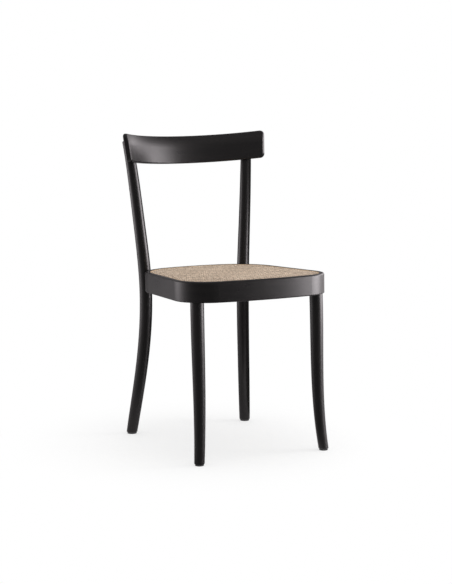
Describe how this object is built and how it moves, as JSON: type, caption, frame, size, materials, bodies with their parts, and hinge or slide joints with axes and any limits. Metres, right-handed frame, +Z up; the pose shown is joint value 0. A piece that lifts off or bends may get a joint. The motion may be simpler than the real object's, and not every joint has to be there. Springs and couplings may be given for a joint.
{
  "type": "bentwood bistro chair",
  "caption": "Bentwood side chair: bent seat ring with woven cane, round legs that sweep out to the floor, and a curved back rail let into the rear posts.",
  "frame": {"origin": "on the floor, under the middle of the chair's overall width and depth", "axes": "+Z up, -Y the way the chair and its sitter face, +X to the right seen from the front; mirror-symmetric across X = 0"},
  "size_m": [0.4282, 0.5072, 0.8214],
  "materials": {
    "beech_black": "black-stained beech under a satin clear lacquer",
    "cane": "natural woven cane and reed, unvarnished",
    "steel": "bright zinc-plated steel fasteners",
    "brass": "plain turned brass threaded inserts",
    "glide_plastic": "matt black moulded glide"
  },
  "bodies": {
    "root": {"seat_ring": "beech_black", "cane_panel": "cane", "cane_spline": "cane", "front_leg_left": "beech_black", "front_leg_right": "beech_black", "rear_leg_left": "beech_black", "rear_leg_right": "beech_black", "back_rail": "beech_black", "corner_block_left": "beech_black", "corner_block_right": "beech_black", "front_leg_screws": "steel", "corner_block_screws": "steel", "rear_leg_bolts": "steel", "rear_leg_washers": "steel", "rear_leg_inserts": "brass", "back_rail_screws": "steel", "back_rail_plugs": "beech_black", "glide_front_left": "glide_plastic", "glide_front_right": "glide_plastic", "glide_rear_left": "glide_plastic", "glide_rear_right": "glide_plastic", "glide_nails": "steel"}
  },
  "joints": []
}
